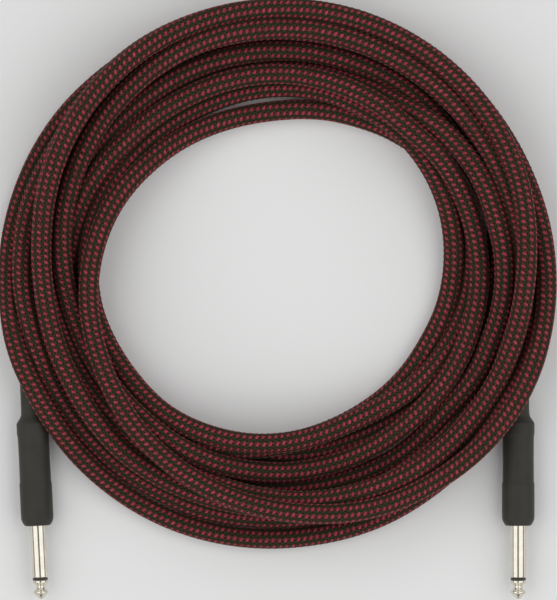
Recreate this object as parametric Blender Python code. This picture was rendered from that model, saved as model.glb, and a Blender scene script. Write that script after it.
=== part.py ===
"""Instrument cable: a woven-jacket guitar cable in a round coil, with a moulded quarter-inch plug on each end.

The cable lies on z = 0. The origin is on that surface, midway between the two plugs, which lie side by side
with their tips towards -Y. Every plug part is modelled about the plug's own axis: local +Z runs towards the
tip, and local z = 0 is the front shoulder, which seats on the jack. Sizes below are in millimetres.
"""

import math

import bmesh
import bpy
from mathutils import Matrix, Vector

MM = 0.001
GAP = 0.3  # clearance that touching pieces keep

# The cable and its coil
CABLE_R = 4.1
COIL_CENTRE = (0.0, 84.5)
COIL_INNER_R = 62.0
COIL_OUTER_R = 114.5
COIL_HEIGHT = 29.0
COIL_EDGE_R = 7.0  # rounding of the coil's cross-section
COIL_STEPS = 64

# The plugs' places: the front shoulder's centre, and the lean in the plane of the surface
BODY_R = 6.7
PLUGS = {
    "left": {"shoulder": (-97.5, -18.3), "lean_deg": 2.8},
    "right": {"shoulder": (99.6, -18.3), "lean_deg": 0.0},
}

# The cable's short way from each neck to the turns of the coil, lying down on the surface
LEADS = {
    "left": [
        (-100.8, 49.0, 6.7),
        (-101.0, 53.0, 6.6),
        (-101.5, 60.0, 5.6),
        (-101.9, 68.0, 4.6),
        (-102.1, 76.0, 4.4),
    ],
    "right": [
        (99.6, 49.0, 6.7),
        (99.7, 53.0, 6.6),
        (100.1, 60.0, 5.6),
        (100.5, 68.0, 4.6),
        (100.8, 76.0, 4.4),
    ],
}
LEAD_POINTS = 10
TUNNEL_END_Y = LEADS["right"][-1][1] + GAP + 0.25  # the lead's end leans a little
TUNNEL_TOP = 13.9
TUNNEL_HALF_WIDTH = 9.8

# Moulded body, along the plug's axis from the shoulder back
BODY_LENGTH = 42.6
NECK_LENGTH = 24.4
NECK_FRONT_R = 4.6
NECK_REAR_R = 4.35
NECK_BORE_R = 3.75
GRIP_RECESS = 0.25
GRIP_FRONT = -18.0
GRIP_REAR = -37.0
CAVITY_R = 5.3
CAVITY_FRONT = -2.6
CAVITY_STEP = -24.2
CLAMP_BORE_R = 4.8
CLAMP_BORE_END = -31.5
REAR_END = -(BODY_LENGTH + NECK_LENGTH)

# Contacts: a standard 6.35 mm two-contact plug
SLEEVE_R = 3.175
SLEEVE_FRONT = 21.1
SLEEVE_BORE_R = 2.5
BUSH_R = 2.2
ROD_R = 1.1
ROD_BORE_R = 1.4
RING_FRONT = 22.3
TIP_END = 30.1
FLANGE_R = 5.0
FLANGE_FRONT = -2.9
FLANGE_REAR = -4.9
BOSS_R = 3.4
BOSS_REAR = -8.2
WASHER_REAR = -9.5
PREMOULD_REAR = -23.8

# Stripped cable end: outer radius, inner radius and front end of each layer
CABLE_LAYERS = {
    "inner_jacket": (3.3, 2.7, -24.5),
    "braid_shield": (2.4, 2.1, -22.0),
    "conductive_layer": (1.8, 1.55, -20.5),
    "dielectric_core": (1.25, 0.75, -19.0),
}
CONDUCTOR_R = 0.45
LAYERS_REAR = REAR_END + 0.1

BODY_STEPS = 40
METAL_STEPS = 32
INNER_STEPS = 20


def clear_scene():
    for obj in list(bpy.data.objects):
        bpy.data.objects.remove(obj)


def material(name, colour, roughness, metallic=0.0):
    made = bpy.data.materials.get(name)
    if made is None:
        made = bpy.data.materials.new(name)
        made.use_nodes = True
        shader = made.node_tree.nodes["Principled BSDF"]
        shader.inputs["Base Color"].default_value = (*colour, 1.0)
        shader.inputs["Roughness"].default_value = roughness
        shader.inputs["Metallic"].default_value = metallic
    return made


def woven_cover():
    return material("woven_cover", (0.16, 0.05, 0.05), 0.85)


def soft_touch():
    return material("soft_touch", (0.045, 0.045, 0.043), 0.7)


def nickel():
    return material("nickel", (0.72, 0.68, 0.6), 0.2, 1.0)


def brass():
    return material("tinned_brass", (0.6, 0.55, 0.4), 0.35, 1.0)


def copper():
    return material("copper", (0.75, 0.36, 0.2), 0.35, 1.0)


def black_plastic():
    return material("black_plastic", (0.02, 0.02, 0.02), 0.4)


def clear_plastic():
    return material("natural_plastic", (0.75, 0.73, 0.66), 0.45)


def new_object(name, mesh, finish, parent=None):
    mesh.materials.append(finish)
    obj = bpy.data.objects.new(name, mesh)
    bpy.context.scene.collection.objects.link(obj)
    obj.parent = parent
    return obj


def mesh_of(bm, name):
    bmesh.ops.recalc_face_normals(bm, faces=bm.faces)
    mesh = bpy.data.meshes.new(name)
    bm.to_mesh(mesh)
    bm.free()
    mesh.shade_smooth()
    mesh.set_sharp_from_angle(angle=math.radians(35))
    return mesh


def turned(name, outline, steps):
    """A mesh turned about local Z from a closed outline of (radius, height) points in millimetres."""
    bm = bmesh.new()
    points = [bm.verts.new((radius * MM, 0.0, height * MM)) for radius, height in outline]
    edges = [bm.edges.new((a, b)) for a, b in zip(points, points[1:] + points[:1])]
    bmesh.ops.spin(
        bm,
        geom=points + edges,
        cent=(0.0, 0.0, 0.0),
        axis=(0.0, 0.0, 1.0),
        angle=2 * math.pi,
        steps=steps,
        use_merge=True,
    )
    bmesh.ops.remove_doubles(bm, verts=bm.verts, dist=1e-6)
    bmesh.ops.dissolve_degenerate(bm, edges=bm.edges, dist=1e-7)
    return mesh_of(bm, name)


def box(name, low, high):
    """A box mesh between two corners in millimetres."""
    bm = bmesh.new()
    size = Vector(high) - Vector(low)
    middle = (Vector(high) + Vector(low)) / 2
    fit = Matrix.Translation(middle * MM) @ Matrix.Diagonal((*(size * MM), 1.0))
    bmesh.ops.create_cube(bm, size=1.0, matrix=fit)
    return mesh_of(bm, name)


def boolean(target, tool, operation):
    """Cuts the tool from the target, or joins it on. The tool stays in the file as a hidden helper."""
    tool.hide_render = True
    tool.display_type = "WIRE"
    step = target.modifiers.new(operation.lower() + "_" + tool.name, "BOOLEAN")
    step.operation = operation
    step.object = tool
    step.solver = "EXACT"


def smooth_points(route, count):
    """Points read evenly from a Catmull-Rom curve through the route's own points."""
    ends = [2 * route[0] - route[1], *route, 2 * route[-1] - route[-2]]
    found = []
    for i in range(count):
        along = i / (count - 1) * (len(route) - 1)
        k = min(int(along), len(route) - 2)
        t = along - k
        a, b, c, d = ends[k : k + 4]
        blend = 2 * b + (c - a) * t + (2 * a - 5 * b + 4 * c - d) * t**2
        found.append((blend + (3 * b - a - 3 * c + d) * t**3) / 2)
    return found


def tube(name, route_mm, radius, finish, parent=None, count=LEAD_POINTS, sides=3):
    """A round tube with closed ends along a smooth curve through the route's points."""
    curve = bpy.data.curves.new(name, "CURVE")
    curve.dimensions = "3D"
    curve.bevel_depth = radius * MM
    curve.bevel_resolution = sides
    curve.use_fill_caps = True
    spline = curve.splines.new("POLY")
    points = smooth_points([Vector(p) * MM for p in route_mm], count)
    spline.points.add(len(points) - 1)
    for point, place in zip(spline.points, points):
        point.co = (*place, 1.0)
    spline.use_smooth = True
    return new_object(name, curve, finish, parent)


def plug_frame(side):
    """The empty that holds one plug: local +Z towards the tip, local +Y up from the surface."""
    place = PLUGS[side]
    lean = math.radians(place["lean_deg"])
    to_tip = Vector((math.sin(lean), -math.cos(lean), 0.0))
    up = Vector((0.0, 0.0, 1.0))
    across = up.cross(to_tip)
    turn = Matrix((across, up, to_tip)).transposed().to_4x4()
    frame = bpy.data.objects.new("plug_" + side, None)
    bpy.context.scene.collection.objects.link(frame)
    frame.empty_display_size = 0.01
    frame.matrix_world = Matrix.Translation(Vector((*place["shoulder"], BODY_R)) * MM) @ turn
    return frame


def tip_contact(side, frame):
    outline = [
        (0.0, TIP_END),
        (0.5, TIP_END - 0.05),
        (0.9, TIP_END - 0.3),
        (2.95, TIP_END - 2.35),
        (3.1, TIP_END - 2.7),
        (3.1, TIP_END - 3.1),
        (2.9, TIP_END - 3.45),
        (1.95, TIP_END - 4.4),
        (1.8, TIP_END - 5.0),
        (1.95, TIP_END - 5.5),
        (2.5, TIP_END - 6.1),
        (2.95, TIP_END - 6.45),
        (SLEEVE_R, TIP_END - 6.8),
        (SLEEVE_R, RING_FRONT + GAP),
        (ROD_R, RING_FRONT + GAP),
        (ROD_R, WASHER_REAR - 1.7),
        (0.0, WASHER_REAR - 1.7),
    ]
    new_object(f"plug_{side}_tip", turned("tip", outline, METAL_STEPS), nickel(), frame)


def insulator(side, frame):
    """The black ring between tip and sleeve, with its bush that runs back inside the sleeve."""
    outline = [
        (ROD_BORE_R, RING_FRONT),
        (SLEEVE_R - 0.08, RING_FRONT),
        (SLEEVE_R - 0.08, SLEEVE_FRONT + GAP),
        (BUSH_R, SLEEVE_FRONT + GAP),
        (BUSH_R, BOSS_REAR - 0.9),
        (ROD_BORE_R, BOSS_REAR - 0.9),
    ]
    mesh = turned("insulator", outline, METAL_STEPS)
    new_object(f"plug_{side}_insulator", mesh, black_plastic(), frame)


def sleeve(side, frame):
    outline = [
        (SLEEVE_BORE_R, SLEEVE_FRONT),
        (SLEEVE_R - 0.15, SLEEVE_FRONT),
        (SLEEVE_R, SLEEVE_FRONT - 0.15),
        (SLEEVE_R, FLANGE_FRONT),
        (FLANGE_R, FLANGE_FRONT),
        (FLANGE_R, FLANGE_REAR),
        (BOSS_R, FLANGE_REAR),
        (BOSS_R, BOSS_REAR),
        (SLEEVE_BORE_R, BOSS_REAR),
    ]
    new_object(f"plug_{side}_sleeve", turned("sleeve", outline, METAL_STEPS), nickel(), frame)


def rear_washer(side, frame):
    outline = [
        (SLEEVE_BORE_R, BOSS_REAR - GAP),
        (BOSS_R, BOSS_REAR - GAP),
        (BOSS_R, WASHER_REAR),
        (SLEEVE_BORE_R, WASHER_REAR),
    ]
    mesh = turned("washer", outline, INNER_STEPS)
    new_object(f"plug_{side}_rear_washer", mesh, black_plastic(), frame)


def tip_lug(side, frame):
    """The eyelet riveted on the centre rod, with a tail that the centre conductor is soldered to."""
    front = WASHER_REAR - GAP
    rear = front - 0.6
    eyelet = [(ROD_BORE_R, front), (3.0, front), (3.0, rear), (ROD_BORE_R, rear)]
    lug = new_object(f"plug_{side}_tip_lug", turned("lug", eyelet, INNER_STEPS), brass(), frame)
    tail = box("tail", (-1.2, 1.85, -18.0), (1.2, 2.45, front - 0.15))
    boolean(lug, new_object(f"tip_lug_tail_{side}", tail, brass(), frame), "UNION")


def sleeve_lug(side, frame):
    """The eyelet behind the flange, its arm, and the clamp that grips the cable's inner jacket."""
    front = FLANGE_REAR - GAP
    inner = BOSS_R + GAP
    eyelet = [(inner, front), (4.8, front), (4.8, front - 0.8), (inner, front - 0.8)]
    mesh = turned("lug", eyelet, INNER_STEPS)
    lug = new_object(f"plug_{side}_sleeve_lug", mesh, brass(), frame)
    arm = box("arm", (-1.5, -4.35, -30.0), (1.5, -3.75, front - 0.2))
    boolean(lug, new_object(f"sleeve_lug_arm_{side}", arm, brass(), frame), "UNION")
    band = [(3.6, -25.5), (4.3, -25.5), (4.3, -30.5), (3.6, -30.5)]
    clamp = turned("clamp", band, INNER_STEPS)
    boolean(lug, new_object(f"sleeve_lug_clamp_{side}", clamp, brass(), frame), "UNION")
    split = box("split", (-0.6, 2.0, -32.0), (0.6, 6.0, -24.0))
    boolean(lug, new_object(f"sleeve_lug_split_{side}", split, brass(), frame), "DIFFERENCE")


def premould(side, frame):
    """The plastic core behind the washers, with the channel that holds both lugs and the wires."""
    front = WASHER_REAR - 1.2
    core_r = CAVITY_R - GAP
    outline = [(0.0, front), (core_r, front), (core_r, PREMOULD_REAR), (0.0, PREMOULD_REAR)]
    mesh = turned("premould", outline, INNER_STEPS)
    core = new_object(f"plug_{side}_premould", mesh, clear_plastic(), frame)
    channel = box("channel", (-2.7, -6.0, PREMOULD_REAR - 1), (2.7, 3.0, front + 1))
    boolean(core, new_object(f"premould_channel_{side}", channel, brass(), frame), "DIFFERENCE")


def body(side, frame):
    """The moulded grip with its narrow strain-relief neck, hollow for everything it holds."""
    grip_r = BODY_R - GRIP_RECESS
    outline = [
        (SLEEVE_R + GAP, 0.0),
        (4.7, 0.0),
        (5.35, -0.25),
        (6.2, -1.6),
        (6.6, -2.8),
        (BODY_R, -4.0),
        (BODY_R, GRIP_FRONT + 0.6),
        (grip_r, GRIP_FRONT),
        (grip_r, GRIP_REAR),
        (BODY_R, GRIP_REAR - 0.6),
        (BODY_R, -BODY_LENGTH + 0.5),
        (BODY_R - 0.35, -BODY_LENGTH),
        (NECK_FRONT_R + 0.15, -BODY_LENGTH - 2.2),
        (NECK_FRONT_R, -BODY_LENGTH - 3.2),
        (NECK_REAR_R, REAR_END + 0.5),
        (NECK_REAR_R - 0.25, REAR_END),
        (NECK_BORE_R, REAR_END),
        (NECK_BORE_R, CLAMP_BORE_END),
        (CLAMP_BORE_R, CLAMP_BORE_END),
        (CLAMP_BORE_R, CAVITY_STEP),
        (CAVITY_R, CAVITY_STEP),
        (CAVITY_R, CAVITY_FRONT),
        (SLEEVE_R + GAP, CAVITY_FRONT),
    ]
    new_object(f"plug_{side}_body", turned("body", outline, BODY_STEPS), soft_touch(), frame)


def cable_end(side, frame):
    """The layers of the stripped cable inside the neck, from the inner jacket to the conductor."""
    finishes = (black_plastic(), copper(), black_plastic(), clear_plastic())
    for (layer, (outer, inner, front)), finish in zip(CABLE_LAYERS.items(), finishes):
        ring = [(inner, front), (outer, front), (outer, LAYERS_REAR), (inner, LAYERS_REAR)]
        new_object(f"{layer}_{side}", turned(layer, ring, INNER_STEPS), finish, frame)
    straight = [(0.0, 0.0, LAYERS_REAR), (0.0, 0.0, -40.0), (0.0, 0.0, -20.0)]
    to_lug = [(0.0, 0.5, -17.8), (0.0, 1.05, -16.0), (0.0, 1.05, -13.2)]
    wire = straight + to_lug
    tube(f"centre_conductor_{side}", wire, CONDUCTOR_R, copper(), frame, count=16, sides=1)
    tail = [(0.0, -2.2, -21.6), (0.0, -2.65, -20.0), (0.0, -2.9, -18.4), (0.0, -2.9, -14.0)]
    tube(f"shield_pigtail_{side}", tail, CONDUCTOR_R, copper(), frame, count=8, sides=1)


def plug(side):
    frame = plug_frame(side)
    for make in (tip_contact, insulator, sleeve, rear_washer, tip_lug, sleeve_lug, premould):
        make(side, frame)
    body(side, frame)
    cable_end(side, frame)
    tube(f"cord_lead_{side}", LEADS[side], CABLE_R, woven_cover())


def coil_outline():
    """The coil's cross-section: a rectangle with rounded corners, flat where it lies on the surface."""
    low, high = COIL_EDGE_R, COIL_HEIGHT - COIL_EDGE_R
    inner, outer = COIL_INNER_R + COIL_EDGE_R, COIL_OUTER_R - COIL_EDGE_R
    corners = ((outer, low, -90), (outer, high, 0), (inner, high, 90), (inner, low, 180))
    outline = []
    for centre_r, centre_z, start in corners:
        for step in range(5):
            angle = math.radians(start + step * 22.5)
            across = centre_r + COIL_EDGE_R * math.cos(angle)
            outline.append((across, centre_z + COIL_EDGE_R * math.sin(angle)))
    return outline


def coil():
    """The outer shape of all the turns, open below where each plug's neck and lead pass under them."""
    ring = new_object("cord_coil", turned("coil", coil_outline(), COIL_STEPS), woven_cover())
    ring.location = Vector((*COIL_CENTRE, 0.0)) * MM
    beyond = COIL_OUTER_R + 10
    near = PLUGS["left"]["shoulder"][1] - 10
    for side, sign in (("left", -1), ("right", 1)):
        inside = LEADS[side][-1][0] - sign * TUNNEL_HALF_WIDTH
        xs = sorted((inside, sign * beyond))
        tunnel = box("tunnel", (xs[0], near, -5.0), (xs[1], TUNNEL_END_Y, TUNNEL_TOP))
        boolean(ring, new_object(f"tunnel_{side}", tunnel, woven_cover()), "DIFFERENCE")


def main():
    clear_scene()
    for side in PLUGS:
        plug(side)
    coil()


main()
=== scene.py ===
"""Looks for the instrument cable: the woven cord in its coil, and the two moulded plugs."""

import math

import bmesh
import bpy
import numpy as np
from mathutils import Matrix, Vector


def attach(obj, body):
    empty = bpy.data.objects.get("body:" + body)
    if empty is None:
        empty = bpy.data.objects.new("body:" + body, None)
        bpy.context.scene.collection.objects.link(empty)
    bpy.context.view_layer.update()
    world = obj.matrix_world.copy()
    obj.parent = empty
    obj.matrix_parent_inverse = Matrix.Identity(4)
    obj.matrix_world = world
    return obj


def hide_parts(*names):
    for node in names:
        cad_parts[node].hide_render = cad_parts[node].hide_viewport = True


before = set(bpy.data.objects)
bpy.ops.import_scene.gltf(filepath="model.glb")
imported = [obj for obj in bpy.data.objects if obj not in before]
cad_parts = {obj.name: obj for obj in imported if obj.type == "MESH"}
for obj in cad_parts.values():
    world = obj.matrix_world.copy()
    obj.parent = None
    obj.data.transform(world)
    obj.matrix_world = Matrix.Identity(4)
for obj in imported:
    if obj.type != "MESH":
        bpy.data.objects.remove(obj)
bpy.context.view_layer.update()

MM = 0.001

# The camera looks straight down. Its sensor is in millimetres and the rest in metres: the view is
# VIEW_WIDTH across at VIEW_DISTANCE from the camera.
SENSOR_WIDTH = 36.0
VIEW_DISTANCE = 4.0
VIEW_WIDTH = 0.2461
CAMERA_AT = (0.00127, 0.0743, 4.0067)
CLIP_END = 50.0

# The studio: each softbox has its place, its size both ways, and its power
SOFTBOXES = {
    "left_softbox": ((-0.92, 0.03, 0.98), (1.9, 1.6), 10.4),
    "right_softbox": ((0.92, 0.03, 0.98), (1.9, 1.6), 10.4),
    "far_softbox": ((0.0, 1.15, 0.75), (1.6, 1.0), 3.0),
    "near_softbox": ((0.0, -1.0, 0.66), (1.6, 1.1), 4.0),
}
LIT_POINT = (0.0, 0.07, 0.0)
WORLD_COLOUR = (0.8, 0.82, 0.85, 1)
WORLD_STRENGTH = 0.2
FLOOR_RADIUS = 20.0
FLOOR_SIDES = 64
FLOOR_COLOUR = (0.86, 0.86, 0.85)

# The cord and its coil, in millimetres
CORD_R = 4.1
CORD_D = 2 * CORD_R
CENTRE = (0.04, 84.13)
STEP = 4.6  # spacing of the points that the coil settles with
KNOT_DEG = 30.0  # angle between the rows of the route's table
ROUTE_DEG = 0.25  # spacing of the planned route's points
SMOOTH_DEG = 7.0  # spread of the smoothing along the planned route
LEVEL = 9.0  # height of one layer before the coil settles

# How the coil settles
SETTLE_ROUNDS = 900
QUICK_SHARE = 0.6  # share of the rounds that sink at the quicker rate
QUICK_SINK = 0.04  # millimetres a round
SLOW_SINK = 0.02  # millimetres a round
PLAN_PULL = 0.12  # share of a point's way back to its plan, seen from above
HEIGHT_PASSES = 34  # stiffening passes on the height in each round
PLAN_PASSES = 4  # stiffening passes on the way off the plan in each round
CONTACT_PASSES = 2
STIFFNESS = 0.055
PUSH = 1.5  # how much of the mean overlap each pass takes out
PAIR_ROUNDS = 8  # rounds between two searches for neighbours
PAIR_MARGIN = 4  # millimetres past contact in which neighbours are looked for
PAIR_BLOCK = 256  # stretches compared with all the others at once
PAIR_SKIP = 5  # stretches this near along the cord are never neighbours
HELD_POINTS = 2  # points at each end that stay in their plug's neck
OWN_POINTS = 6  # points at each end that may be inside their own plug's outside
SPLINE_READS = 8  # points read on each stretch of the spline

# The plugs: front shoulder's centre and the direction of the tip
BODY_R = 6.7
NECK_END = 67.0
PLUGS = {
    "left": ((-97.5, -18.3, BODY_R), (0.0488498, -0.9988061, 0.0)),
    "right": ((99.6, -18.3, BODY_R), (0.0, -1.0, 0.0)),
}

# A plug's outside that the other turns stay clear of: distances along it, and the radius at each
CLEAR_ALONG = (-69.0, -NECK_END, -46.0, -42.6, -41.0, 0.0, 2.0, 4.0)
CLEAR_R = (0.0, 4.4, 4.7, 6.4, 6.7, 6.7, 5.0, 0.0)
CLEAR_FROM = -67.5
CLEAR_TO = 3.0

# The cable's way from each neck to its first turn, the same points as in the CAD
LEADS = {
    "left": [
        (-0.1008, 0.0490, 0.0067),
        (-0.1010, 0.0530, 0.0066),
        (-0.1015, 0.0600, 0.0056),
        (-0.1019, 0.0680, 0.0046),
        (-0.1021, 0.0760, 0.0044),
    ],
    "right": [
        (0.0996, 0.0490, 0.0067),
        (0.0997, 0.0530, 0.0066),
        (0.1001, 0.0600, 0.0056),
        (0.1005, 0.0680, 0.0046),
        (0.1008, 0.0760, 0.0044),
    ],
}

# The turns in order from the left plug to the right one. Each has its distance from the coil's
# centre at every KNOT_DEG, clockwise from the right, and the layer that it starts to settle from.
FIRST_TURN = ((210, 101.3), (240, 99.6), (270, 99.6), (300, 99.6), (330, 96.4))
TURNS = [
    (
        (90.6, 82.0, 75.4, 73.2, 73.4, 75.0, 78.3, 81.6, 84.5, 85.7, 86.5, 92.7),
        (0, 0, 0, 0, 0, 0, 0, 0, 0, 0, 0.8, 2),
    ),
    (
        (94.5, 91.2, 89.2, 87.3, 87.2, 90.4, 92.6, 88.5, 90.5, 92.6, 94.1, 91.8),
        (2, 1.6, 1, 0.5, 0, 0, 0, 0.2, 0.6, 0.8, 1, 1),
    ),
    (
        (94.3, 96.8, 96.8, 95.1, 94.5, 93.9, 95.1, 101.7, 107.4, 109.5, 110.1, 108.2),
        (1, 1.2, 1.4, 1.7, 2, 2.5, 3, 3, 3, 2.5, 2.5, 2.5),
    ),
    (
        (102.1, 99.8, 97.0, 91.8, 87.3, 89.0, 94.7, 102.9, 107.4, 109.1, 109.1, 108.6),
        (3, 2.5, 2, 1.9, 1.5, 1.3, 1.5, 2, 2, 1.5, 1.5, 1.5),
    ),
    (
        (111.1, 110.7, 104.5, 95.5, 87.5, 80.2, 76.1, 71.8, 67.6, 67.6, 74.4, 81.4),
        (2, 3, 3.5, 4, 4, 4, 4, 3, 2, 1, 0.5, 0.5),
    ),
    (
        (80.4, 74.6, 67.0, 68.5, 71.5, 74.2, 76.7, 77.1, 75.6, 77.5, 78.9, 77.1),
        (1, 1.5, 1.5, 1.2, 1, 1, 0.8, 0.5, 0.5, 1, 1.5, 1.2),
    ),
    (
        (73.2, 68.9, 66.4, 69.7, 77.1, 82.4, 85.0, 83.4, 81.8, 83.0, 82.2, 83.2),
        (0.5, 0.5, 0, 0.2, 0.5, 0.2, 0.5, 1.2, 2.5, 2.5, 2.5, 2.5),
    ),
    (
        (83.6, 81.6, 80.4, 80.4, 79.9, 81.2, 86.5, 93.1, 98.8, 101.5, 101.5, 101.5),
        (2.5, 2.5, 2.5, 2.4, 2, 1.5, 1.3, 1.6, 2.4, 3, 3, 2.5),
    ),
    (
        (101.3, 103.0, 100.6, 98.8, 100.2, 101.7, 103.9, 103.3, 100.9, 100.9, 101.7, 103.3),
        (1.5, 0.9, 0.3, 0.5, 0.8, 1.2, 1.5, 1, 0.8, 0.8, 0.8, 0.8),
    ),
    (
        (105.0, 107.0, 107.0, 107.8, 108.9, 109.1, 109.5, 108.4, 105.0, 104.5, 104.5, 103.3),
        (1, 1.5, 1, 1, 1, 1, 0.8, 0.5, 0.5, 0.5, 0.5, 0.2),
    ),
]

# The weave: rows of crimson floats along the cord
FLOAT_PITCH = 2.6
FLOAT_ROWS = 8
FLOAT_SIDES = 8
FLOAT_HALF_LONG = 1.12
FLOAT_HALF_WIDE = 0.66
FLOAT_LEAN_DEG = 62
FLOAT_RISE = 0.2
FLOAT_SINK = 0.06
FLOAT_RIDGE = 0.34  # share of a float's length that its ridge takes
FLOAT_SEED = 7
PLACE_JITTER = 0.05  # millimetres along the cord
TURN_JITTER = 0.02  # radians round the cord
SIZE_JITTER = 0.05  # share of a float's size
TUBE_SIDES = 24
RIBS = 16  # ribs round the cord each way

# The slow turn of the rows round the cord: radians, millimetres, and where it starts
TWISTS = ((0.55, 143.0, 0.0), (0.35, 61.0, 1.0))

# The yarns' colours, from painted shade in the hollows of the weave to lighter colour on its high
# fibres
GREEN_YARN = [
    (0.12, (0.004, 0.006, 0.003)),
    (0.42, (0.017, 0.026, 0.011)),
    (0.8, (0.05, 0.05, 0.024)),
]
DULL_RED_YARN = [
    (0.12, (0.01, 0.003, 0.003)),
    (0.42, (0.078, 0.019, 0.015)),
    (0.8, (0.18, 0.054, 0.042)),
]
CRIMSON_YARN = [
    (0.32, (0.17, 0.014, 0.028)),
    (0.5, (0.33, 0.028, 0.054)),
    (0.7, (0.46, 0.058, 0.092)),
]

# Relief of the plain finishes, in metres
FINE_RELIEF = 0.00002

# Turned pieces
TURNED_STEPS = 96
SHARP_DEG = 40
CORNER_SHARE = 0.4  # share of the shorter side that a rounded corner may take


# ---------------------------------------------------------------- camera, lights and floor


def aim(obj, place, target):
    """Puts an object in a place with its -Z axis towards the target."""
    obj.location = place
    way = Vector(target) - Vector(place)
    obj.rotation_mode = "QUATERNION"
    obj.rotation_quaternion = way.to_track_quat("-Z", "Y")


def camera():
    """The camera over the coil, with its long lens."""
    data = bpy.data.cameras.new("camera")
    data.sensor_width = SENSOR_WIDTH
    data.lens = SENSOR_WIDTH * VIEW_DISTANCE / VIEW_WIDTH
    data.clip_end = CLIP_END
    cam = bpy.data.objects.new("camera", data)
    bpy.context.scene.collection.objects.link(cam)
    cam.location = CAMERA_AT
    bpy.context.scene.camera = cam


def softbox(name, place, size, power):
    """An area light that faces the middle of the object."""
    data = bpy.data.lights.new(name, "AREA")
    data.shape = "RECTANGLE"
    data.size, data.size_y = size
    data.energy = power
    obj = bpy.data.objects.new(name, data)
    bpy.context.scene.collection.objects.link(obj)
    aim(obj, place, LIT_POINT)


def studio():
    """The lights, and the dim sky between them."""
    for name, (place, size, power) in SOFTBOXES.items():
        softbox(name, place, size, power)
    world = bpy.data.worlds.new("studio")
    world.use_nodes = True
    background = world.node_tree.nodes["Background"]
    background.inputs["Color"].default_value = WORLD_COLOUR
    background.inputs["Strength"].default_value = WORLD_STRENGTH
    bpy.context.scene.world = world
    bpy.context.scene.view_settings.view_transform = "Standard"


def floor():
    """A pale round floor, too wide for its edge to come into view."""
    bm = bmesh.new()
    bmesh.ops.create_circle(bm, cap_ends=True, radius=FLOOR_RADIUS, segments=FLOOR_SIDES)
    mesh = bpy.data.meshes.new("floor")
    bm.to_mesh(mesh)
    bm.free()
    obj = bpy.data.objects.new("floor", mesh)
    bpy.context.scene.collection.objects.link(obj)
    mesh.materials.append(new_material("floor_paper", FLOOR_COLOUR, 0.9)[0])


# ---------------------------------------------------------------- materials


def new_material(name, colour, roughness, metallic=0.0):
    """A plain material, with its nodes, links and shader."""
    mat = bpy.data.materials.new(name)
    mat.use_nodes = True
    nodes, links = mat.node_tree.nodes, mat.node_tree.links
    shader = nodes["Principled BSDF"]
    shader.inputs["Base Color"].default_value = (*colour, 1.0)
    shader.inputs["Roughness"].default_value = roughness
    shader.inputs["Metallic"].default_value = metallic
    return mat, nodes, links, shader


def fibre_sheen(shader, weight, roughness, tint, specular):
    """Sets the sheen of loose fibres or a soft skin, and how strong the gloss is under it."""
    shader.inputs["Sheen Weight"].default_value = weight
    shader.inputs["Sheen Roughness"].default_value = roughness
    shader.inputs["Sheen Tint"].default_value = (*tint, 1.0)
    shader.inputs["Specular IOR Level"].default_value = specular


def noise(nodes, links, scale, detail=4.0, stretch=(1.0, 1.0, 1.0)):
    """Noise in object space, at a scale in cells per metre."""
    place = nodes.new("ShaderNodeTexCoord")
    mapping = nodes.new("ShaderNodeMapping")
    mapping.inputs["Scale"].default_value = stretch
    texture = nodes.new("ShaderNodeTexNoise")
    texture.inputs["Scale"].default_value = scale
    texture.inputs["Detail"].default_value = detail
    links.new(place.outputs["Object"], mapping.inputs["Vector"])
    links.new(mapping.outputs["Vector"], texture.inputs["Vector"])
    return texture.outputs["Fac"]


def ramp(nodes, links, source, stops):
    """Turns a value into a colour, by stops of a place and a colour."""
    made = nodes.new("ShaderNodeValToRGB")
    while len(made.color_ramp.elements) < len(stops):
        made.color_ramp.elements.new(0.5)
    for element, (where, colour) in zip(made.color_ramp.elements, stops):
        element.position = where
        element.color = (*colour, 1.0)
    links.new(source, made.inputs["Fac"])
    return made.outputs["Color"]


def spread(nodes, links, source, low, high, start=0.0):
    """Maps a value that runs from start to 1 onto the range from low to high."""
    made = nodes.new("ShaderNodeMapRange")
    made.inputs["From Min"].default_value = start
    made.inputs["To Min"].default_value = low
    made.inputs["To Max"].default_value = high
    links.new(source, made.inputs["Value"])
    return made.outputs["Result"]


def math_node(nodes, links, operation, first, second=None, clamp=False):
    """A Math node whose inputs are numbers or other nodes' outputs."""
    made = nodes.new("ShaderNodeMath")
    made.operation = operation
    made.use_clamp = clamp
    for socket, value in zip(made.inputs, (first, second)):
        if value is None:
            continue
        if isinstance(value, (int, float)):
            socket.default_value = value
        else:
            links.new(value, socket)
    return made.outputs["Value"]


def bump(nodes, links, shader, height, distance, strength):
    """Gives a shader the relief of a height value, at a distance in metres."""
    made = nodes.new("ShaderNodeBump")
    made.inputs["Distance"].default_value = distance
    made.inputs["Strength"].default_value = strength
    links.new(height, made.inputs["Height"])
    links.new(made.outputs["Normal"], shader.inputs["Normal"])


def plain_finish(name, dark, light, roughness, metallic=0.0, scale=900.0):
    """A material whose colour and roughness drift a little, with a fine relief."""
    mat, nodes, links, shader = new_material(name, light, roughness, metallic)
    grain = noise(nodes, links, scale)
    links.new(ramp(nodes, links, grain, [(0.3, dark), (0.7, light)]), shader.inputs["Base Color"])
    rough = spread(nodes, links, grain, low=roughness - 0.06, high=roughness + 0.06)
    links.new(rough, shader.inputs["Roughness"])
    bump(nodes, links, shader, grain, distance=FINE_RELIEF, strength=0.5)
    return mat


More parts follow.
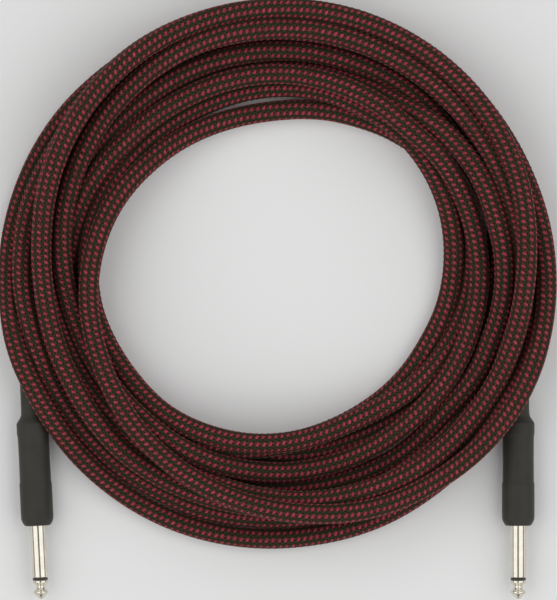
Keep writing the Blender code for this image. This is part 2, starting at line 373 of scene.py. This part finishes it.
def braid_ground():
    """Braided yarn, by the tube's own UV map: green ribs, with dull red carried under the floats."""
    mat, nodes, links, shader = new_material("braid_ground", (0.02, 0.03, 0.016), roughness=0.85)
    uv = nodes.new("ShaderNodeUVMap")
    uv.uv_map = "weave"
    parts = nodes.new("ShaderNodeSeparateXYZ")
    links.new(uv.outputs["UV"], parts.inputs["Vector"])
    around, along = parts.outputs["X"], parts.outputs["Y"]
    ribs = []
    for sign in (1, -1):
        slant = math_node(nodes, links, "MULTIPLY", along, sign * math.tau)
        turn = math_node(nodes, links, "MULTIPLY", around, math.tau * RIBS)
        phase = math_node(nodes, links, "ADD", slant, turn)
        ribs.append(math_node(nodes, links, "SINE", phase))
    plait = math_node(nodes, links, "MAXIMUM", ribs[0], ribs[1])
    height = spread(nodes, links, plait, low=0.35, high=1.0, start=-1.0)
    fuzz = noise(nodes, links, scale=2600.0, detail=3.0)
    patches = noise(nodes, links, scale=420.0, detail=3.0)
    # The yarn's relief, which also sets its colour: the ramps below paint shade into the hollows
    # between the ribs, over the yarn's own uneven tone
    yarn = math_node(nodes, links, "MULTIPLY", height, fuzz)
    green = ramp(nodes, links, yarn, GREEN_YARN)
    brown = ramp(nodes, links, yarn, DULL_RED_YARN)
    rows = math_node(nodes, links, "MULTIPLY", around, math.tau * FLOAT_ROWS)
    nearness = math_node(nodes, links, "COSINE", rows)
    under = spread(nodes, links, nearness, low=0.1, high=1.0, start=-1.0)
    uneven = spread(nodes, links, patches, low=0.35, high=1.35)
    share = math_node(nodes, links, "MULTIPLY", under, uneven, clamp=True)
    mix = nodes.new("ShaderNodeMix")
    mix.data_type = "RGBA"
    links.new(share, mix.inputs["Factor"])
    links.new(green, mix.inputs["A"])
    links.new(brown, mix.inputs["B"])
    links.new(mix.outputs["Result"], shader.inputs["Base Color"])
    fibre_sheen(shader, weight=0.14, roughness=0.3, tint=(0.9, 0.6, 0.45), specular=0.15)
    bump(nodes, links, shader, yarn, distance=0.00018, strength=0.9)
    return mat


def crimson_yarn():
    """The floats' yarn: fine fibres, and a slower drift of the dye from place to place."""
    mat, nodes, links, shader = new_material("crimson_yarn", (0.36, 0.03, 0.06), roughness=0.75)
    fibres = noise(nodes, links, scale=3200.0, detail=3.0)
    drift = noise(nodes, links, scale=220.0, detail=2.0)
    both = math_node(nodes, links, "ADD", fibres, drift)
    half = math_node(nodes, links, "MULTIPLY", both, 0.5)
    links.new(ramp(nodes, links, half, CRIMSON_YARN), shader.inputs["Base Color"])
    fibre_sheen(shader, weight=0.3, roughness=0.35, tint=(0.95, 0.6, 0.6), specular=0.3)
    bump(nodes, links, shader, fibres, distance=0.00008, strength=0.6)
    return mat


def soft_touch():
    """The moulded bodies' dark soft skin, a little polished in places by handling."""
    mat, nodes, links, shader = new_material("soft_touch_grip", (0.034, 0.033, 0.028), roughness=0.6)
    grain = noise(nodes, links, scale=5200.0, detail=3.0)
    handling = noise(nodes, links, scale=130.0, detail=5.0)
    stops = [(0.3, (0.0255, 0.0238, 0.018)), (0.7, (0.0375, 0.0348, 0.0272))]
    links.new(ramp(nodes, links, handling, stops), shader.inputs["Base Color"])
    rough = spread(nodes, links, handling, low=0.52, high=0.68)
    links.new(rough, shader.inputs["Roughness"])
    fibre_sheen(shader, weight=0.3, roughness=0.25, tint=(1.0, 0.95, 0.82), specular=0.35)
    bump(nodes, links, shader, grain, distance=0.00003, strength=0.6)
    return mat


def plated():
    """Bright nickel with turning lines round the contact and faint rubbed streaks along it."""
    mat, nodes, links, shader = new_material(
        "nickel_plate", (0.82, 0.78, 0.68), roughness=0.28, metallic=1.0
    )
    lines = noise(nodes, links, scale=900.0, detail=2.0, stretch=(0.15, 12.0, 0.15))
    rubs = noise(nodes, links, scale=700.0, detail=4.0, stretch=(6.0, 0.35, 6.0))
    stain = noise(nodes, links, scale=220.0, detail=4.0)
    shade = ramp(nodes, links, stain, [(0.3, (0.72, 0.68, 0.58)), (0.7, (0.81, 0.77, 0.67))])
    links.new(shade, shader.inputs["Base Color"])
    both = math_node(nodes, links, "ADD", rubs, stain)
    rough = spread(nodes, links, both, low=0.07, high=0.15, start=0.6)
    links.new(rough, shader.inputs["Roughness"])
    bump(nodes, links, shader, lines, distance=0.000004, strength=0.35)
    return mat


def braid_of_copper():
    """The cable's copper shield, as bands of lighter and darker copper, darker where the bands' relief
    is low.
    """
    mat, nodes, links, shader = new_material(
        "copper_braid", (0.72, 0.36, 0.2), roughness=0.35, metallic=1.0
    )
    place = nodes.new("ShaderNodeTexCoord")
    wave = nodes.new("ShaderNodeTexWave")
    wave.inputs["Scale"].default_value = 900.0
    wave.inputs["Distortion"].default_value = 3.0
    links.new(place.outputs["Object"], wave.inputs["Vector"])
    bands = wave.outputs["Fac"]
    shade = ramp(nodes, links, bands, [(0.2, (0.3, 0.12, 0.06)), (0.7, (0.8, 0.42, 0.25))])
    links.new(shade, shader.inputs["Base Color"])
    bump(nodes, links, shader, bands, distance=0.0001, strength=0.8)
    return mat


# ---------------------------------------------------------------- the cord's route


def polar(point):
    """A point in metres as its clockwise angle in degrees and its millimetres from the centre."""
    x, y = point[0] / MM - CENTRE[0], point[1] / MM - CENTRE[1]
    return math.degrees(math.atan2(-y, x)) % 360.0, math.hypot(x, y)


def knots():
    """Rows of total angle, distance and starting layer, from the left neck to the right one."""
    rows = [(*polar(p), 0.0) for p in LEADS["left"]]
    rows += [(angle, distance, 0.0) for angle, distance in FIRST_TURN]
    start = 360.0
    for distances, layers in TURNS:
        for k, (distance, layer) in enumerate(zip(distances, layers)):
            rows.append((start + KNOT_DEG * k, distance, layer))
        start += 360.0
    rows += [(start + polar(p)[0], polar(p)[1], 0.0) for p in reversed(LEADS["right"])]
    return np.array(rows)


def hermite(xk, yk, x):
    """A cubic Hermite curve through the knots, read at x."""
    slopes = np.gradient(yk, xk)
    i = np.clip(np.searchsorted(xk, x, side="right") - 1, 0, len(xk) - 2)
    h = xk[i + 1] - xk[i]
    t = (x - xk[i]) / h
    first = (2 * t**3 - 3 * t**2 + 1) * yk[i] + (t**3 - 2 * t**2 + t) * h * slopes[i]
    return first + (-2 * t**3 + 3 * t**2) * yk[i + 1] + (t**3 - t**2) * h * slopes[i + 1]


def gaussian(values, sigma):
    """Gaussian smoothing that runs straight on past both ends."""
    half = int(3 * sigma)
    weights = np.exp(-0.5 * (np.arange(-half, half + 1) / sigma) ** 2)
    before = 2 * values[0] - values[half:0:-1]
    after = 2 * values[-1] - values[-2 : -half - 2 : -1]
    padded = np.concatenate([before, values, after])
    return np.convolve(padded, weights / weights.sum(), "valid")


def lengths(points):
    """The length of each stretch between two points."""
    return np.linalg.norm(np.diff(points, axis=0), axis=1)


def distance_along(points):
    """How far along the line each point lies."""
    return np.concatenate([[0.0], np.cumsum(lengths(points))])


def even_steps(along, step):
    """Distances from end to end of a line, as near to the step apart as comes out even."""
    return np.linspace(0.0, along[-1], int(round(along[-1] / step)) + 1)


def resample(points, step):
    """The same line with its points at an even step."""
    along = distance_along(points)
    want = even_steps(along, step)
    return np.stack([np.interp(want, along, points[:, k]) for k in range(3)], axis=1)


def planned_route():
    """The coil as it is laid, with its layers still apart."""
    rows = knots()
    angle = np.arange(rows[0, 0], rows[-1, 0] + 1e-6, ROUTE_DEG)
    distance = gaussian(hermite(rows[:, 0], rows[:, 1], angle), SMOOTH_DEG / ROUTE_DEG)
    height = CORD_R + LEVEL * np.interp(angle, rows[:, 0], rows[:, 2])
    x = CENTRE[0] + distance * np.cos(np.radians(angle))
    y = CENTRE[1] - distance * np.sin(np.radians(angle))
    along = distance_along(np.stack([x, y, np.zeros_like(x)], axis=1))
    want = even_steps(along, STEP)
    return np.stack([np.interp(want, along, v) for v in (x, y, height)], axis=1)


# ---------------------------------------------------------------- settling


def near_pairs(points, reach):
    """Pairs of stretches whose middles are within reach of each other, other than close neighbours."""
    middles = (points[1:] + points[:-1]) / 2
    found = []
    for start in range(0, len(middles), PAIR_BLOCK):
        block = middles[start : start + PAIR_BLOCK]
        apart = ((block[:, None, :] - middles[None, :, :]) ** 2).sum(axis=2)
        i, j = np.nonzero(apart < reach * reach)
        i = i + start
        keep = j > i + PAIR_SKIP
        found.append(np.stack([i[keep], j[keep]], axis=1))
    pairs = np.concatenate(found)
    return pairs[:, 0], pairs[:, 1]


def closest(points, i, j):
    """Where two stretches come closest: the share along each, and the vector from one to the other."""
    p, q = points[i], points[j]
    d, e = points[i + 1] - p, points[j + 1] - q
    r = p - q
    dd, ee, de = (d * d).sum(axis=1), (e * e).sum(axis=1), (d * e).sum(axis=1)
    dr, er = (d * r).sum(axis=1), (e * r).sum(axis=1)
    s = np.clip((de * er - dr * ee) / np.maximum(dd * ee - de * de, 1e-6), 0, 1)
    t = np.clip((de * s + er) / ee, 0, 1)
    s = np.clip((de * t - dr) / dd, 0, 1)
    return s, t, (p + d * s[:, None]) - (q + e * t[:, None])


def part_turns(points, i, j):
    """Moves stretches of the cord that overlap apart, each by half of what its push comes to."""
    s, t, gap = closest(points, i, j)
    distance = np.linalg.norm(gap, axis=1)
    hit = distance < CORD_D
    i, j, s, t, distance = i[hit], j[hit], s[hit], t[hit], np.maximum(distance[hit], 1e-4)
    push = gap[hit] / distance[:, None] * ((CORD_D - distance) / 2)[:, None]
    total, count = np.zeros_like(points), np.zeros(len(points))
    for index, share, sign in ((i, 1 - s, 1), (i + 1, s, 1), (j, 1 - t, -1), (j + 1, t, -1)):
        for k in range(3):
            total[:, k] += np.bincount(index, sign * push[:, k] * share, len(points))
        count += np.bincount(index, share, len(points))
    points += total / np.maximum(count, 1.0)[:, None] * PUSH


def clear_plugs(points):
    """Moves the cord off the plugs' bodies and necks, except where it leaves its own plug."""
    for side, (shoulder, to_tip) in PLUGS.items():
        axis = np.array(to_tip)
        offset = points - np.array(shoulder)
        along = offset @ axis
        across = offset - along[:, None] * axis
        distance = np.linalg.norm(across, axis=1)
        need = np.interp(along, CLEAR_ALONG, CLEAR_R) + CORD_R
        hit = (along > CLEAR_FROM) & (along < CLEAR_TO) & (distance < need)
        own = slice(0, OWN_POINTS) if side == "left" else slice(len(points) - OWN_POINTS, None)
        hit[own] = False
        out = across / np.maximum(distance, 1e-6)[:, None]
        points += np.where(hit[:, None], out * (need - distance)[:, None], 0.0)


def stiffen(values):
    """One step of a bending stiffness on one coordinate of the line."""
    bend = np.zeros_like(values)
    inner = -4 * (values[1:-3] + values[3:-1]) + 6 * values[2:-2]
    bend[2:-2] = values[:-4] + inner + values[4:]
    return values - STIFFNESS * bend


def settle(plan):
    """Lets the coil fall into place: it sinks, keeps its plan from above, and never enters itself."""
    points = plan.copy()
    ends = np.zeros(len(points), bool)
    ends[:HELD_POINTS] = ends[-HELD_POINTS:] = True
    points[ends, 2] = BODY_R
    held = points[ends].copy()
    for step in range(SETTLE_ROUNDS):
        if step % PAIR_ROUNDS == 0:
            i, j = near_pairs(points, CORD_D + STEP + PAIR_MARGIN)
        points[:, 2] -= QUICK_SINK if step < SETTLE_ROUNDS * QUICK_SHARE else SLOW_SINK
        points[:, :2] += PLAN_PULL * (plan[:, :2] - points[:, :2])
        for _ in range(HEIGHT_PASSES):
            points[:, 2] = stiffen(points[:, 2])
        for _ in range(PLAN_PASSES):
            for k in (0, 1):
                points[:, k] = plan[:, k] + stiffen(points[:, k] - plan[:, k])
        for _ in range(CONTACT_PASSES):
            part_turns(points, i, j)
            clear_plugs(points)
            points[:, 2] = np.maximum(points[:, 2], CORD_R)
        points[ends] = held
    return points


def smooth_line(points, step):
    """A uniform cubic B-spline through the settled points, read at an even step."""
    ends = np.concatenate([2 * points[:1] - points[1:2], points, 2 * points[-1:] - points[-2:-1]])
    a, b, c, d = ends[:-3], ends[1:-2], ends[2:-1], ends[3:]
    rows = []
    for t in np.arange(SPLINE_READS) / SPLINE_READS:
        first = (1 - t) ** 3 * a + (3 * t**3 - 6 * t**2 + 4) * b
        rows.append((first + (-3 * t**3 + 3 * t**2 + 3 * t + 1) * c + t**3 * d) / 6)
    line = np.stack(rows, axis=1).reshape(-1, 3)
    return resample(line, step)


def frames(line):
    """Unit tangent, upward and outward directions at every point of the line."""
    tangent = np.gradient(line, axis=0)
    tangent /= np.linalg.norm(tangent, axis=1)[:, None]
    out = np.cross((0.0, 0.0, 1.0), tangent)
    out /= np.linalg.norm(out, axis=1)[:, None]
    return tangent, np.cross(tangent, out), out


# ---------------------------------------------------------------- meshes


def riding_piece(name, mesh, mat):
    """A smooth piece in one material, which moves with the whole object."""
    mesh.materials.append(mat)
    mesh.shade_smooth()
    obj = bpy.data.objects.new(name, mesh)
    bpy.context.scene.collection.objects.link(obj)
    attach(obj, "root")
    return obj


def mesh_object(name, vertices, faces, mat):
    """A riding piece from its vertices, in metres, and its faces."""
    mesh = bpy.data.meshes.new(name)
    mesh.from_pydata(vertices, [], faces)
    return riding_piece(name, mesh, mat)


def twist(along):
    """The slow turn of the weave's rows round the cord, in radians."""
    return sum(turn * np.sin(along / length + start) for turn, length, start in TWISTS)


def weave_map(obj, quads, side, along):
    """The tube's UV map: once round the cord across, and float pitches along it."""
    layer = obj.data.uv_layers.new(name="weave")
    u = np.broadcast_to(side / TUBE_SIDES, quads.shape[:2])
    v = np.broadcast_to(along[:-1, None] / FLOAT_PITCH, quads.shape[:2])
    w = np.broadcast_to(along[1:, None] / FLOAT_PITCH, quads.shape[:2])
    step = 1 / TUBE_SIDES
    corners = np.stack([np.stack([u, v], -1), np.stack([u, w], -1)], 2)
    beyond = np.stack([np.stack([u + step, w], -1), np.stack([u + step, v], -1)], 2)
    flat = np.concatenate([corners, beyond], 2).reshape(-1)
    values = np.zeros(len(obj.data.loops) * 2)
    values[: len(flat)] = flat
    layer.data.foreach_set("uv", values)


def cord_tube(line):
    """The woven cord as one closed tube along the line, never below the floor."""
    _, up, out = frames(line)
    along = distance_along(line)
    turn = np.arange(TUBE_SIDES) / TUBE_SIDES * math.tau
    angle = turn[None, :] + twist(along)[:, None]
    ring = np.cos(angle)[..., None] * up[:, None, :] + np.sin(angle)[..., None] * out[:, None, :]
    vertices = (line[:, None, :] + CORD_R * ring).reshape(-1, 3) * MM
    vertices[:, 2] = np.maximum(vertices[:, 2], 0.0)
    rows = np.arange(len(line) - 1)[:, None] * TUBE_SIDES
    side = np.arange(TUBE_SIDES)[None, :]
    after = (side + 1) % TUBE_SIDES
    ahead = rows + TUBE_SIDES
    quads = np.stack([rows + side, ahead + side, ahead + after, rows + after], -1)
    faces = quads.reshape(-1, 4).tolist()
    faces.append(list(range(TUBE_SIDES)))
    last = len(vertices) - TUBE_SIDES
    faces.append(list(range(last + TUBE_SIDES - 1, last - 1, -1)))
    obj = mesh_object("woven_cord", vertices.tolist(), faces, braid_ground())
    weave_map(obj, quads, side, along)
    return obj


def float_shape():
    """One raised float of yarn, as (along, around, rise) points and triangles."""
    lean = math.radians(FLOAT_LEAN_DEG)
    points = []
    for k in range(FLOAT_SIDES):
        a = (k + 0.5) / FLOAT_SIDES * math.tau
        p, q = FLOAT_HALF_LONG * math.cos(a), FLOAT_HALF_WIDE * math.sin(a)
        points.append((p, q, -FLOAT_SINK))
    ridge = FLOAT_RIDGE * FLOAT_HALF_LONG
    points += [(ridge, 0.0, FLOAT_RISE), (-ridge, 0.0, FLOAT_RISE)]
    leaning = [
        (p * math.cos(lean) - q * math.sin(lean), p * math.sin(lean) + q * math.cos(lean), h)
        for p, q, h in points
    ]
    front, back = FLOAT_SIDES, FLOAT_SIDES + 1
    faces = [(k, (k + 1) % FLOAT_SIDES, back if 2 <= k <= 5 else front) for k in range(FLOAT_SIDES)]
    faces += [(2, back, front), (6, front, back)]
    return np.array(leaning), np.array(faces)


def cord_floats(line):
    """The crimson floats, row by row round the cord, each row an eighth of a pitch behind the last."""
    directions = frames(line)
    along = distance_along(line)
    shape, triangles = float_shape()
    count = int(along[-1] / FLOAT_PITCH) - 1
    vertices, faces = [], []
    rng = np.random.default_rng(FLOAT_SEED)
    for row in range(FLOAT_ROWS):
        at = (np.arange(count) + 1.0 - row / FLOAT_ROWS) * FLOAT_PITCH
        at = at + rng.normal(0.0, PLACE_JITTER, count)
        turn = row / FLOAT_ROWS * math.tau + twist(at) + rng.normal(0.0, TURN_JITTER, count)
        size = 1.0 + rng.normal(0.0, SIZE_JITTER, count)
        spot, tangent, up, out = (
            np.stack([np.interp(at, along, v[:, k]) for k in range(3)], axis=1)
            for v in (line, *directions)
        )
        angle = turn[:, None] + shape[None, :, 1] * size[:, None] / CORD_R
        radius = CORD_R + shape[None, :, 2]
        forward = shape[None, :, 0, None] * size[:, None, None] * tangent[:, None, :]
        side = np.cos(angle)[..., None] * up[:, None, :] + np.sin(angle)[..., None] * out[:, None, :]
        placed = spot[:, None, :] + forward + radius[..., None] * side
        base = (np.arange(count) + row * count) * len(shape)
        vertices.append(placed.reshape(-1, 3))
        faces.append((base[:, None, None] + triangles[None, :, :]).reshape(-1, 3))
    vertices = np.concatenate(vertices) * MM
    vertices[:, 2] = np.maximum(vertices[:, 2], 0.0)
    triangles = np.concatenate(faces)
    return mesh_object("crimson_floats", vertices.tolist(), triangles.tolist(), crimson_yarn())


def rounded(outline, radius, steps):
    """A closed outline of (radius, height) points with its convex and hollow corners rounded."""
    made = []
    count = len(outline)
    for k, corner in enumerate(outline):
        corner = Vector(corner)
        before, after = Vector(outline[k - 1]), Vector(outline[(k + 1) % count])
        back, on = before - corner, after - corner
        if corner.x < 1e-6 or back.length < 1e-6 or on.length < 1e-6:
            made.append(tuple(corner))
            continue
        reach = min(radius, back.length * CORNER_SHARE, on.length * CORNER_SHARE)
        p, q = corner + back.normalized() * reach, corner + on.normalized() * reach
        for step in range(steps + 1):
            t = step / steps
            made.append(tuple((1 - t) ** 2 * p + 2 * t * (1 - t) * corner + t**2 * q))
    return made


def plug_matrix(side):
    """From a plug's own axes, with z towards its tip, to its place on the floor."""
    shoulder, to_tip = PLUGS[side]
    along = Vector(to_tip)
    up = Vector((0.0, 0.0, 1.0))
    turn = Matrix((up.cross(along), up, along)).transposed().to_4x4()
    return Matrix.Translation(Vector(shoulder) * MM) @ turn


def turned(name, side, outline, mat):
    """A turned piece of one plug, in its place, with edges sharper than SHARP_DEG left sharp."""
    bm = bmesh.new()
    points = [bm.verts.new((r * MM, 0.0, z * MM)) for r, z in outline]
    edges = [bm.edges.new((a, b)) for a, b in zip(points, points[1:] + points[:1])]
    bmesh.ops.spin(
        bm,
        geom=points + edges,
        cent=(0.0, 0.0, 0.0),
        axis=(0.0, 0.0, 1.0),
        angle=math.tau,
        steps=TURNED_STEPS,
        use_merge=True,
    )
    bmesh.ops.remove_doubles(bm, verts=bm.verts, dist=1e-6)
    bmesh.ops.recalc_face_normals(bm, faces=bm.faces)
    bm.transform(plug_matrix(side))
    mesh = bpy.data.meshes.new(name)
    bm.to_mesh(mesh)
    bm.free()
    piece = riding_piece(name, mesh, mat)
    mesh.set_sharp_from_angle(angle=math.radians(SHARP_DEG))
    return piece


# ---------------------------------------------------------------- the plugs

# Closed outlines of (radius, distance from the front shoulder), in millimetres
CONTACT_R = 3.175
TIP_BACK = 22.42
ROD_R = 1.1
ROD_END = -11.2
TIP_END = 30.1
TIP_OUTLINE = [
    (0.0, TIP_END + 0.1),
    (0.5, TIP_END + 0.04),
    (0.85, TIP_END - 0.15),
    (1.2, TIP_END - 0.45),
    (2.95, TIP_END - 2.3),
    (3.12, TIP_END - 2.6),
    (3.12, TIP_END - 3.1),
    (2.95, TIP_END - 3.4),
    (2.2, TIP_END - 4.1),
    (1.9, TIP_END - 4.6),
    (1.83, TIP_END - 5.0),
    (1.95, TIP_END - 5.5),
    (2.4, TIP_END - 6.05),
    (2.95, TIP_END - 6.45),
    (CONTACT_R, TIP_END - 6.8),
    (CONTACT_R, TIP_BACK),
    (ROD_R, TIP_BACK),
    (ROD_R, ROD_END),
    (0.0, ROD_END),
]
RING_OUTLINE = [(1.4, 22.3), (3.1, 22.3), (3.1, 21.3), (2.2, 21.3), (2.2, -9.1), (1.4, -9.1)]
SLEEVE_OUTLINE = [
    (2.5, 21.15),
    (CONTACT_R, 21.15),
    (CONTACT_R, -2.9),
    (5.0, -2.9),
    (5.0, -4.9),
    (3.4, -4.9),
    (3.4, -8.2),
    (2.5, -8.2),
]
BODY_OUTLINE = [
    (3.35, -0.1),
    (4.7, 0.0),
    (5.35, -0.25),
    (6.2, -1.6),
    (6.6, -2.8),
    (6.7, -4.2),
    (6.7, -17.2),
    (6.45, -18.2),
    (6.38, -27.5),
    (6.45, -36.8),
    (6.7, -37.8),
    (6.7, -42.1),
    (6.35, -42.7),
    (5.0, -44.6),
    (4.62, -45.6),
    (4.5, -47.5),
    (4.45, -66.2),
    (4.3, -NECK_END),
    (4.12, -NECK_END),
    (4.12, -63.8),
    (3.75, -63.4),
    (3.75, -31.5),
    (4.8, -31.5),
    (4.8, -24.2),
    (5.3, -24.2),
    (5.3, -2.6),
    (3.35, -2.6),
]


def plug(side, finishes):
    """One plug's four outside pieces, each in place of its CAD node."""
    outline = rounded(BODY_OUTLINE, radius=0.4, steps=4)
    body = turned(f"{side}_grip", side, outline, finishes["grip"])
    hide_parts(f"plug_{side}_body")
    outline = rounded(SLEEVE_OUTLINE, radius=0.12, steps=3)
    sleeve = turned(f"{side}_sleeve", side, outline, finishes["nickel"])
    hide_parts(f"plug_{side}_sleeve")
    outline = rounded(RING_OUTLINE, radius=0.05, steps=2)
    ring = turned(f"{side}_ring", side, outline, finishes["black"])
    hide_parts(f"plug_{side}_insulator")
    outline = rounded(TIP_OUTLINE, radius=0.3, steps=4)
    tip = turned(f"{side}_tip", side, outline, finishes["nickel"])
    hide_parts(f"plug_{side}_tip")
    return [body, sleeve, ring, tip]


def inner_finishes():
    """Gives the CAD parts inside the plugs their materials. Returns the black one, for the rings."""
    brass = plain_finish(
        "tinned_brass", (0.42, 0.38, 0.28), (0.66, 0.6, 0.45), roughness=0.35, metallic=1.0
    )
    copper = plain_finish(
        "copper_wire", (0.5, 0.2, 0.1), (0.8, 0.42, 0.25), roughness=0.3, metallic=1.0, scale=2000.0
    )
    black = plain_finish(
        "black_plastic", (0.02, 0.017, 0.011), (0.044, 0.038, 0.026), roughness=0.45
    )
    milky = plain_finish(
        "milky_plastic", (0.62, 0.6, 0.52), (0.78, 0.76, 0.68), roughness=0.4
    )
    shield = braid_of_copper()
    finishes = {
        "tip_lug": brass,
        "sleeve_lug": brass,
        "rear_washer": black,
        "premould": milky,
        "inner_jacket": black,
        "conductive_layer": black,
        "dielectric_core": milky,
        "centre_conductor": copper,
        "shield_pigtail": copper,
        "braid_shield": shield,
    }
    for name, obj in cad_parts.items():
        for word, mat in finishes.items():
            if word in name:
                for place in obj.material_slots:
                    place.material = mat
    return black


# ---------------------------------------------------------------- making it

camera()
studio()
floor()

settled = settle(planned_route())
cord_line = smooth_line(settled, FLOAT_PITCH)
cord = cord_tube(cord_line)
floats = cord_floats(cord_line)
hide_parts("cord_coil", "cord_lead_left", "cord_lead_right")

black_finish = inner_finishes()
plug_finishes = {"grip": soft_touch(), "nickel": plated(), "black": black_finish}
plug("left", plug_finishes)
right_pieces = plug("right", plug_finishes)
